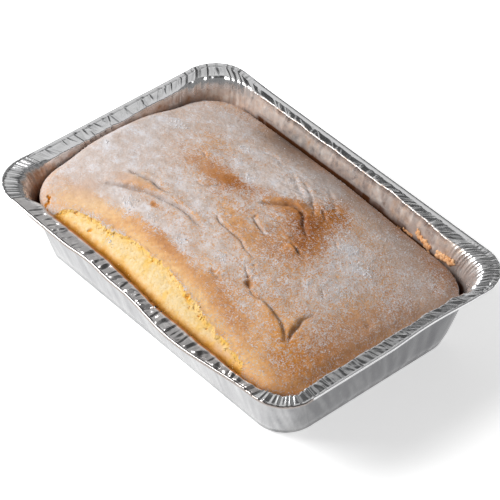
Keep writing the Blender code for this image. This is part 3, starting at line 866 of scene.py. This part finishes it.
def crumb_marks(x, y):
    """Where the crumb shows, its holes, its golden and rosy places, and its dark lower edge and crack, which are
    partly browned crust and partly painted shade.
    """
    tear = tear_distance(x, y)
    crumb = ramp(tear, -0.15 * MM, 0.25 * MM)
    crack, along = near_route(x, y, ((-79, -57.5), (-77.5, -59.5), (-77, -62), (-75.5, -63.5)))
    opening = MM * (1.1 + 1.5 * layered(x, y, 0, 1.6 * MM, 95, 2)) - np.abs(crack)
    crack_open = ramp(opening, -0.2 * MM, 0.3 * MM)
    torn_band = np.exp(-np.maximum(tear, 0) / (2.0 * MM))
    left_part = 1 - ramp(x, -34 * MM, -20 * MM)
    wx = x + 0.6 * MM * layered(x, y, 0, 1.6 * MM, 104, 2)
    wy = y + 0.6 * MM * layered(x, y, 0, 1.6 * MM, 105, 2)
    large = cells(wx, wy, 3.4 * MM, 101, 0.2 * MM, 1.5 * MM) * ramp(torn_band, 0.35, 0.8) * left_part
    medium = cells(wx, wy, 2.2 * MM, 102, 0.1 * MM, 0.75 * MM) * ramp(torn_band, 0.05, 0.6)
    small = cells(wx, wy, 1.7 * MM, 103, 0.05 * MM, 0.42 * MM)
    pores = large + medium * 0.6 + small * 0.4
    for px, py, radius in BIG_PORES:
        reach = np.hypot(wx - px * MM, wy - py * MM) / (radius * MM)
        pores = np.maximum(pores, 0.9 * np.sqrt(np.clip(1 - reach ** 2, 0, 1)))
    gold = 0.8 * torn_band * (1 + 1.2 * layered(x, y, 0, 4 * MM, 106, 4, 0.65))
    gold = gold + 0.55 * ramp(layered(x, y, 0, 6 * MM, 107, 4, 0.6), 0.1, 0.5)
    rim = -bowed_mouth(x, MOUTH_BOX[2] + 0 * y, -1 + 0 * y, 1.0)[1]
    lower = -y - rim + 0.8 * MM * layered(x, y, 0, 3 * MM, 108, 3)
    # Browned crust and painted shade along the lower edge by the foil's mouth, and in the crack.
    deep = np.maximum(0.85 * ramp(lower, -8.5 * MM, -3.0 * MM), crack_open)
    rosy = ramp(x, 38 * MM, 58 * MM) * ramp(lower, -12 * MM, -6 * MM)
    marks = {"crumb": np.maximum(crumb, crack_open), "pores": pores * crumb, "gold": np.clip(gold, 0, 1),
             "deep": deep, "rosy": rosy}
    return tear, crack_open, marks


def sponge_top(u, v):
    """Points of the sponge's top and the marks its material reads."""
    plan_x, plan_y = place(u, v, TOP_BOX, SPONGE_RADII)
    height, inside = plain_top(plan_x, plan_y)
    x, y = settle(plan_x, plan_y)
    tear, crack_open, marks = crumb_marks(x, y)
    crumb = marks["crumb"]

    fold_height, bare, crease = folds(x, y)
    ragged_x = x + 1.6 * MM * layered(x, y, 0, 7 * MM, 113, 3, 0.6)
    ragged_y = y + 1.2 * MM * layered(x, y, 0, 7 * MM, 114, 3, 0.6)
    sugar = 0.64 - 0.18 * ramp(x, 10 * MM, 80 * MM) + patches(ragged_x, ragged_y, SUGAR_PATCHES)
    sugar = sugar + 0.20 * layered(x, y * 1.5, 0, 14 * MM, 111, 5, 0.62)
    sugar = np.clip(sugar, 0, 1.1) - 0.5 * bare
    film = np.clip(0.25 + patches(ragged_x, ragged_y, FILM_PATCHES), 0, 1) * (1 - 0.5 * bare)
    bake = 0.42 + patches(ragged_x, ragged_y, BAKE_PATCHES) + 0.14 * layered(x, y, 0, 10 * MM, 121, 4, 0.6)

    flakes = layered(x + 0.7 * y, y - 0.3 * x, 0, 4.5 * MM, 133, 4, 0.62)
    wrinkled = patches(x, y, WRINKLED)
    wrinkles = 1 - 2.2 * np.abs(layered(0.35 * x + 0.2 * y, y - 0.55 * x, 0, 3.6 * MM, 135, 3, 0.6))
    relief = fold_height + 0.16 * MM * layered(x, y, 0, 9 * MM, 132, 2) + 0.20 * MM * flakes
    relief = relief + 0.55 * MM * wrinkled * wrinkles
    relief = relief + 0.12 * MM * np.clip(sugar, 0, 1) * (layered(x, y, 0, 1.6 * MM, 134, 2) + 0.5)
    relief = relief + 0.25 * MM * np.exp(-(np.maximum(-tear, 0) / (1.2 * MM)) ** 2) * (tear > -6 * MM)
    relief = relief * (1 - crumb) + 0.5 * MM * layered(x, y, 0, 36 * MM, 131, 2)
    crumb_rough = 0.30 * layered(x, y, 0, 3.6 * MM, 141, 4, 0.6) + 0.10 * layered(x, y, 0, 0.9 * MM, 142, 2)
    torn = -TEAR_DEPTH * ramp(tear, 0, 1.6 * MM) + crumb_rough * MM - 0.9 * MM * marks["pores"]
    relief = relief + crumb * torn - crack_open * 1.2 * MM
    u, v = shares(x, y)
    # Band along the back of the top: an even film with less powder, darkened as painted shade where the top falls away
    # to the back.
    rear = ramp(v, 0.60, 0.94) * ramp(inside, 0.0, 0.2) * (0.3 + 0.7 * ramp(x, -62 * MM, -42 * MM))
    rear = rear * (1 - 0.45 * ramp(x, -35 * MM, -5 * MM))
    grainy = ramp(x, 5 * MM, 45 * MM) * (1 - rear)
    film = film * (1 - 0.8 * ramp(bake, 0.55, 0.9)) * (1 - 0.2 * grainy)
    film = np.maximum(film, 1.1 * rear)
    sugar = sugar - 0.45 * rear
    marks.update(sugar=sugar, film=film, bake=bake, rear=rear, grainy=grainy, crease=crease)
    return np.stack([x, y, height + relief * inside], -1), marks, tear


def sponge_lines():
    """The mesh lines of the sponge's top, closer together where the crumb shows."""
    step = 0.38 * MM
    u = np.linspace(-1, 1, int(2 * MOUTH_BOX[1] / step))
    front = np.linspace(-1, -0.70, int(0.30 * MOUTH_BOX[3] / (step * 0.7)))
    rest = np.linspace(-0.70, 1, int(1.70 * MOUTH_BOX[3] / step))
    return u, np.concatenate([front, rest[1:]])


def crust_colour(n):
    """Golden to brown crust under an even film of sugar and islands of loose powder."""
    sugar = n.mark("sugar")
    tone = n.math("ADD", n.mark("bake"), n.spread(n.noise(2.5 * MM, 4, 0.65), 0.3, 0.7, -0.16, 0.16))
    crust = n.steps(tone, (0.0, linear(250, 206, 140)), (0.3, linear(230, 168, 98)),
                    (0.6, linear(196, 126, 50)), (1.0, linear(148, 80, 8)))
    dusty = n.steps(n.noise(6 * MM, 4, 0.6), (0.3, linear(190, 165, 150)), (0.7, linear(206, 186, 175)))
    # Painted shade on the film at the back of the top.
    dusty = n.blend(n.mark("rear"), dusty, linear(104, 92, 86))
    crust = n.blend(n.math("MULTIPLY", n.mark("film"), 0.85), crust, dusty)
    blotchy = n.math("SUBTRACT", 1.0, n.math("MULTIPLY", n.mark("film"), 0.6))
    islands = n.math("MULTIPLY", n.math("SUBTRACT", n.noise(2.8 * MM, 6, 0.75), 0.5), 4.2)
    contrast = n.math("MULTIPLY_ADD", n.mark("grainy"), 9.0, 7.0)
    dots = n.math("MULTIPLY", n.math("SUBTRACT", n.noise(0.85 * MM, 3, 0.8), 0.5), contrast)
    level = n.math("MULTIPLY_ADD", n.math("SUBTRACT", sugar, 0.5), 1.9, 0.5)
    uneven = n.math("MULTIPLY", blotchy, n.math("ADD", islands, dots))
    cover = n.math("ADD", level, uneven, clamp=True)
    powder = n.steps(n.noise(7 * MM, 4, 0.6), (0.34, linear(198, 187, 181)), (0.5, linear(213, 206, 204)),
                     (0.66, linear(226, 228, 234)))
    # Painted shade on the powder at the back of the top.
    powder = n.blend(n.mark("rear"), powder, linear(148, 138, 134))
    return n.blend(n.math("MULTIPLY", cover, 0.84), crust, powder), cover


def crumb_colour(n):
    """Creamy crumb, golden under the torn edge and in its holes, brown down by the foil, partly as browned crust and
    partly as painted shade.
    """
    body = n.steps(n.noise(2.4 * MM, 6, 0.75), (0.3, linear(240, 200, 122)), (0.46, linear(243, 214, 158)),
                   (0.7, linear(247, 228, 192)))
    body = n.blend(n.mark("rosy"), body, linear(236, 200, 166))
    body = n.blend(n.mark("gold"), body, linear(244, 196, 92))
    body = n.blend(n.spread(n.mark("pores"), 0.1, 0.8), body, linear(222, 152, 50))
    # Browned crust and painted shade along the lower edge and in the crack.
    body = n.blend(n.spread(n.mark("deep"), 0.1, 0.7), body, linear(236, 170, 62))
    return n.blend(n.spread(n.mark("deep"), 0.45, 1.0), body, linear(176, 104, 16))


def sponge_material():
    n = Nodes("sponge_crust_and_crumb")
    crust, cover = crust_colour(n)
    # Painted shade in the folds' grooves and in the pits.
    crust = n.blend(n.math("MULTIPLY", n.mark("crease"), 0.42), crust, linear(108, 84, 70))
    colour = n.blend(n.mark("crumb"), crust, crumb_colour(n))
    clods = n.bump(cover, 0.10 * MM, 0.8)
    fine = n.bump(n.noise(1.1 * MM, 3, 0.65), 0.30 * MM, 0.8, clods)
    return n.finish(Base_Color=colour, Roughness=0.85, Normal=fine, Specular_IOR_Level=0.25)


def keep_inside(points):
    """Pulls points in from the tray's wall where it is dented."""
    x, y, z = points[..., 0], points[..., 1], points[..., 2]
    levels = np.linspace(2 * MM, 44 * MM, 22)
    turns = np.linspace(-math.pi, math.pi, 1441)
    reach = []
    for level in levels:
        ring = wall_row(level, WALL_GAP)
        turn = np.arctan2(ring[:, 1], ring[:, 0])
        reach.append(np.interp(turns, turn, np.hypot(ring[:, 0], ring[:, 1]), period=2 * math.pi))
    reach = np.array(reach)
    row = np.clip((z - levels[0]) / (levels[1] - levels[0]), 0, len(levels) - 1.001)
    column = np.clip((np.arctan2(y, x) - turns[0]) / (turns[1] - turns[0]), 0, len(turns) - 1.001)
    i, j = row.astype(int), column.astype(int)
    s, t = row - i, column - j
    low = reach[i, j] * (1 - t) + reach[i, j + 1] * t
    high = reach[i + 1, j] * (1 - t) + reach[i + 1, j + 1] * t
    pull = np.minimum(1, (low * (1 - s) + high * s) / np.maximum(np.hypot(x, y), 1e-6))
    return np.stack([x * pull, y * pull, z], -1)


def sponge_rim(index):
    """The outermost points of the top's grid, once round."""
    return np.concatenate([index[:-1, 0], index[-1, :-1], index[:0:-1, -1], index[0, :0:-1]])


def build_sponge():
    u, v = np.meshgrid(*sponge_lines(), indexing="ij")
    top, marks, tear = sponge_top(u, v)
    top = keep_inside(top)
    index = np.arange(u.size).reshape(u.shape)
    quads = np.stack([index[:-1, :-1], index[1:, :-1], index[1:, 1:], index[:-1, 1:]], -1).reshape(-1, 4)
    rim = sponge_rim(index)
    upper = top.reshape(-1, 3)[rim]
    base = place(u.ravel()[rim], v.ravel()[rim], sponge_box(SPONGE_FLOOR, 2.9 * MM), BASE_RADII)
    lower = np.stack([*base, np.full(len(rim), SPONGE_FLOOR)], 1)
    points, faces = [top.reshape(-1, 3)], [quads]
    previous, start = rim, u.size
    for t in np.linspace(0, 1, 12)[1:]:
        ring = upper + (lower - upper) * t
        ring[:, :2] *= 1 + 0.0014 * np.sin(t * np.pi)
        points.append(keep_inside(ring))
        current = start + np.arange(len(rim))
        faces.append(np.stack([np.roll(current, -1), np.roll(previous, -1), previous, current], 1))
        previous, start = current, start + len(rim)
    side_points = start - u.size
    piece = make_mesh("sponge_body", np.concatenate(points) + MOULD, np.concatenate(faces),
                      [sponge_material()], previous[::-1])
    # The sides are baked darkest brown, which also paints the shade in the gap between the sponge and the wall.
    sides = {"sugar": -0.6, "film": 0.0, "bake": 1.05}
    add_marks(piece, **{name: np.append(values.ravel(), np.full(side_points, sides.get(name, 0.0)))
                        for name, values in marks.items()})
    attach(piece, "root")
    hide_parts("sponge")
    return top, marks, tear


# ---------------------------------------------------------------- loose sugar, crumbs, residue

CLUMP_SPOTS = ((-43, -36, 4), (-29, -35, 3), (-7, -36, 3), (15, -29, 3), (-21, 19, 3), (48, 21, 5),
               (-77, 21, 4), (-88, -15, 2), (-41, 33, 3), (63, 18, 5), (66, -1, 4), (-34, -57, 2))
# Cake stuck to the back wall: x and height at both ends, and half-thickness up the wall.
RESIDUE = ((51.0, 36.2, 61.5, 33.0, 1.7), (66.5, 33.6, 77.5, 35.4, 1.8), (25.5, 30.6, 26.6, 30.4, 0.6),
           (42.0, 32.2, 49.0, 32.4, 0.8), (38.0, 31.0, 40.0, 31.2, 0.5))


def ball(level):
    """A round body of triangles with radius 1."""
    points = [(1, 0, 0), (-1, 0, 0), (0, 1, 0), (0, -1, 0), (0, 0, 1), (0, 0, -1)]
    points = [np.array(point, float) for point in points]
    faces = [(0, 2, 4), (2, 1, 4), (1, 3, 4), (3, 0, 4), (2, 0, 5), (1, 2, 5), (3, 1, 5), (0, 3, 5)]
    for _ in range(level):
        middles, finer = {}, []
        for face in faces:
            between = []
            for a, b in zip(face, face[1:] + face[:1]):
                key = (min(a, b), max(a, b))
                if key not in middles:
                    middles[key] = len(points)
                    points.append((points[a] + points[b]) / np.linalg.norm(points[a] + points[b]))
                between.append(middles[key])
            ab, bc, ca = between
            finer += [(face[0], ab, ca), (ab, face[1], bc), (ca, bc, face[2]), (ab, bc, ca)]
        faces = finer
    return np.array(points), np.array(faces)


def lumps(shape, middles, sizes, rng, dents=0.25):
    """Many uneven copies of a ball, as points and faces."""
    points, faces = shape
    count = len(middles)
    dented = points[None] * rng.uniform(1 - dents, 1 + dents, (count, len(points), 1))
    dented = dented * rng.uniform(0.75, 1.3, (count, 1, 3)) * sizes[:, None, None] + middles[:, None, :]
    every = faces[None] + (np.arange(count) * len(points))[:, None, None]
    return dented.reshape(-1, 3), every.reshape(-1, 3)


def joined(*parts):
    """Several arrays of points and faces as one."""
    points, faces, start = [], [], 0
    for part_points, part_faces in parts:
        points.append(part_points)
        faces.append(part_faces + start)
        start += len(part_points)
    return np.concatenate(points), np.concatenate(faces)


def picked(top, weights, count, rng):
    """Random places on the sponge's top, more of them where the weights are high."""
    flat = weights.ravel() / weights.sum()
    return top.reshape(-1, 3)[rng.choice(flat.size, count, p=flat)]


def add_piece(name, points, faces, material):
    low, high = np.array(TRAY_LOW) + 0.2 * MM, np.array([TRAY_HIGH.x, TRAY_HIGH.y, SPONGE_HIGH.z]) - 0.2 * MM
    piece = make_mesh(name, np.clip(points + MOULD, low, high), faces, [material])
    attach(piece, "root")
    return piece


def cell_areas(top):
    """Area of the surface round each point of the sponge's grid."""
    along = np.linalg.norm(np.gradient(top, axis=0), axis=2)
    across = np.linalg.norm(np.gradient(top, axis=1), axis=2)
    return along * across


def build_clumps(top, marks):
    """Icing sugar that has gathered in grains and small clumps on the crust."""
    rng = np.random.default_rng(5)
    x, y = top[..., 0], top[..., 1]
    bare = 1 - np.clip(marks["crumb"], 0, 1)
    sugar = np.clip(marks["sugar"], 0, 1)
    islands = np.clip(0.5 + 2.2 * layered(x, y, 0, 5 * MM, 151, 4, 0.7), 0, 2)
    weights = bare * (0.05 + sugar ** 1.5) * islands * (0.25 + marks["grainy"]) * (1 - 0.75 * marks["rear"])
    weights = weights * (1 - 0.6 * np.clip(marks["film"], 0, 1)) * cell_areas(top)
    fine = picked(top, weights, 12500, rng)
    fine_sizes = np.clip(0.16 * MM * rng.lognormal(0, 0.35, len(fine)), 0.08 * MM, 0.36 * MM)
    spots = sum(np.exp(-((x - a * MM) ** 2 + (y - b * MM) ** 2 * 2) / (c * MM) ** 2) for a, b, c in CLUMP_SPOTS)
    large = picked(top, (spots + 0.02 * weights / weights.max()) * cell_areas(top), 1000, rng)
    large_sizes = np.clip(0.21 * MM * rng.lognormal(0, 0.35, len(large)), 0.1 * MM, 0.42 * MM)
    points, faces = joined(lumps(ball(0), fine, fine_sizes, rng), lumps(ball(1), large, large_sizes, rng))
    n = Nodes("sugar_powder")
    tone = n.steps(n.noise(3 * MM, 3), (0.35, linear(222, 218, 218)), (0.65, linear(238, 238, 242)))
    soft = n.bump(n.noise(0.2 * MM, 2), 0.05 * MM, 0.6)
    material = n.finish(Base_Color=tone, Roughness=0.9, Normal=soft, Specular_IOR_Level=0.2)
    return add_piece("sugar_clumps", points, faces, material)


def build_crumbs(top, marks, tear):
    """Crumbs along the torn edge of the crust, and bits on the crumb."""
    rng = np.random.default_rng(11)
    area = cell_areas(top)
    edge = picked(top, np.exp(-((tear - 0.5 * MM) / (0.9 * MM)) ** 2) * area, 700, rng)
    bits = picked(top, marks["crumb"] * area, 600, rng)
    sizes = np.clip(0.24 * MM * rng.lognormal(0, 0.35, len(edge)), 0.1 * MM, 0.55 * MM)
    small = np.clip(0.16 * MM * rng.lognormal(0, 0.3, len(bits)), 0.1 * MM, 0.3 * MM)
    points, faces = joined(lumps(ball(1), edge - [0, 0, 0.1 * MM], sizes, rng, 0.2),
                           lumps(ball(1), bits - [0, 0, 0.06 * MM], small, rng, 0.2))
    n = Nodes("crumbs")
    tone = n.steps(n.noise(1.6 * MM, 4, 0.6), (0.35, linear(232, 176, 88)), (0.5, linear(248, 212, 132)),
                   (0.65, linear(252, 230, 176)))
    rough = n.bump(n.noise(0.4 * MM, 3), 0.05 * MM, 0.6)
    material = n.finish(Base_Color=tone, Roughness=0.9, Normal=rough, Specular_IOR_Level=0.2)
    return add_piece("cake_crumbs", points, faces, material)


def back_wall(x, height):
    """Where the inside of the back wall is, at places along it and heights."""
    starts = section_starts()
    levels = np.linspace(26 * MM, 42 * MM, 9)
    rings = [wall_row(level)[starts[4]:starts[5]][::-1] for level in levels]
    rows = np.array([np.interp(x, ring[:, 0], ring[:, 1]) for ring in rings])
    level = np.clip((height - levels[0]) / (levels[1] - levels[0]), 0, len(levels) - 1.001)
    below = level.astype(int)
    places = np.arange(len(x))
    return rows[below, places] + (level - below) * (rows[below + 1, places] - rows[below, places])


def build_residue():
    """Baked bits of cake that stayed on the tray's back wall above the sponge."""
    rng = np.random.default_rng(23)
    middles, sizes = [], []
    for start_x, start_z, end_x, end_z, half in RESIDUE:
        count = int(8 + 4 * (end_x - start_x))
        for t, spread in zip(rng.uniform(0, 1, count), rng.normal(0, 0.4, count)):
            middles.append((start_x + (end_x - start_x) * t, 0, start_z + (end_z - start_z) * t + spread * half))
            sizes.append(half * rng.uniform(0.4, 0.75))
    middles, sizes = np.array(middles) * MM, np.array(sizes) * MM
    middles[:, 1] = back_wall(middles[:, 0], middles[:, 2])
    points, faces = lumps(ball(2), middles, sizes, rng, 0.06)
    x, y, z = points.T
    wall = back_wall(x, z)
    dents = 0.12 * MM * layered(x, y, z, 0.9 * MM, 161, 2)
    y = np.minimum(wall - 0.25 * MM + (y - wall) * 0.6 + dents, wall - 0.2 * MM)
    n = Nodes("baked_cake")
    tone = n.steps(n.noise(2.0 * MM, 4, 0.65), (0.36, linear(206, 138, 84)), (0.46, linear(236, 180, 128)),
                   (0.66, linear(242, 200, 158)))
    rough = n.bump(n.noise(0.5 * MM, 4), 0.2 * MM, 0.9)
    material = n.finish(Base_Color=tone, Roughness=0.85, Normal=rough, Specular_IOR_Level=0.25)
    return add_piece("baked_residue", np.stack([x, y, z], 1), faces, material)


# ---------------------------------------------------------------- stage, light, camera

CAMERA_TURN, CAMERA_TILT = math.radians(49.28), math.radians(42.17)
CAMERA_DISTANCE = 1.394
CAMERA_SHIFT_RIGHT, CAMERA_SHIFT_UP = 1.3 * MM, 19.8 * MM
CAMERA_LENS, SENSOR = 207.1, 36.0


def camera_axes():
    back = np.array([math.sin(CAMERA_TURN) * math.cos(CAMERA_TILT),
                     -math.cos(CAMERA_TURN) * math.cos(CAMERA_TILT), math.sin(CAMERA_TILT)])
    right = np.array([math.cos(CAMERA_TURN), math.sin(CAMERA_TURN), 0])
    return right, np.cross(back, right), back


def build_camera():
    right, up, back = camera_axes()
    data = bpy.data.cameras.new("camera")
    data.lens = CAMERA_LENS
    data.sensor_width = SENSOR
    data.clip_start = 0.05
    data.clip_end = 20
    camera = bpy.data.objects.new("camera", data)
    bpy.context.scene.collection.objects.link(camera)
    spot = MOULD + back * CAMERA_DISTANCE + right * CAMERA_SHIFT_RIGHT + up * CAMERA_SHIFT_UP
    matrix = Matrix.Identity(4)
    for row in range(3):
        matrix[row][0], matrix[row][1], matrix[row][2], matrix[row][3] = right[row], up[row], back[row], spot[row]
    camera.matrix_world = matrix
    bpy.context.scene.camera = camera


def build_floor():
    n = Nodes("studio_floor")
    tone = n.spread(n.noise(400 * MM, 2), 0.3, 0.7, 0.0, 1.0)
    colour = n.blend(tone, (0.86, 0.86, 0.86, 1), (0.88, 0.88, 0.88, 1))
    material = n.finish(Base_Color=colour, Roughness=0.9, Emission_Color=(1.0, 1.0, 1.0, 1),
                        Emission_Strength=0.56)
    size = 3.0
    points = np.array([(-size, -size, 0), (size, -size, 0), (size, size, 0), (-size, size, 0)])
    floor = make_mesh("studio_floor", points, np.array([[0, 1, 2, 3]]), [material])


def add_softbox(name, direction, distance, size, power):
    data = bpy.data.lights.new(name, "AREA")
    data.shape = "SQUARE"
    data.size = size
    data.energy = power
    lamp = bpy.data.objects.new(name, data)
    bpy.context.scene.collection.objects.link(lamp)
    direction = Vector(direction).normalized()
    lamp.location = direction * distance
    lamp.rotation_euler = direction.to_track_quat("Z", "Y").to_euler()


# Soft areas of the room that the foil mirrors: where, how wide from middle to edge, as
# cosines, and how bright.
ROOM = 0.25
ROOM_AREAS = (
    ((-0.80, 0.20, 0.55), 0.80, 0.92, 0.55),
    ((-0.85, 0.45, 0.05), 0.90, 0.97, 0.50),
    ((-0.56, -0.83, 0.00), 0.92, 0.98, 0.38),
    ((-0.31, 0.48, 0.82), 0.94, 0.985, 0.42),
    ((-0.56, 0.48, 0.67), 0.965, 0.99, 0.80),
    ((-0.45, 0.85, 0.28), 0.89, 0.955, 0.07),
    ((0.05, 0.10, 0.99), 0.87, 0.955, 0.07),
)


def build_light():
    """A soft key from the left, and a room with lighter and darker areas for the foil."""
    world = bpy.data.worlds.new("studio")
    world.use_nodes = True
    tree = world.node_tree
    direction = tree.nodes.new("ShaderNodeTexCoord").outputs["Generated"]
    tone = None
    for aim, start, end, brightness in ROOM_AREAS:
        dot = tree.nodes.new("ShaderNodeVectorMath")
        dot.operation = "DOT_PRODUCT"
        dot.inputs[1].default_value = Vector(aim).normalized()
        share = tree.nodes.new("ShaderNodeMapRange")
        share.interpolation_type = "SMOOTHSTEP"
        share.inputs[1].default_value = start
        share.inputs[2].default_value = end
        blend = tree.nodes.new("ShaderNodeMix")
        blend.inputs[3].default_value = brightness
        tree.links.new(direction, dot.inputs[0])
        tree.links.new(dot.outputs["Value"], share.inputs[0])
        tree.links.new(share.outputs[0], blend.inputs[0])
        if tone is None:
            blend.inputs[2].default_value = ROOM
        else:
            tree.links.new(tone, blend.inputs[2])
        tone = blend.outputs[0]
    tree.links.new(tone, tree.nodes["Background"].inputs["Color"])
    bpy.context.scene.world = world
    add_softbox("key_left", (-0.62, -0.60, 0.72), 1.6, 0.9, 29)
    view = bpy.context.scene.view_settings
    view.view_transform = "Standard"
    view.look = "None"


build_camera()
build_floor()
build_light()
build_foil()
top, marks, tear = build_sponge()
build_clumps(top, marks)
build_crumbs(top, marks, tear)
build_residue()
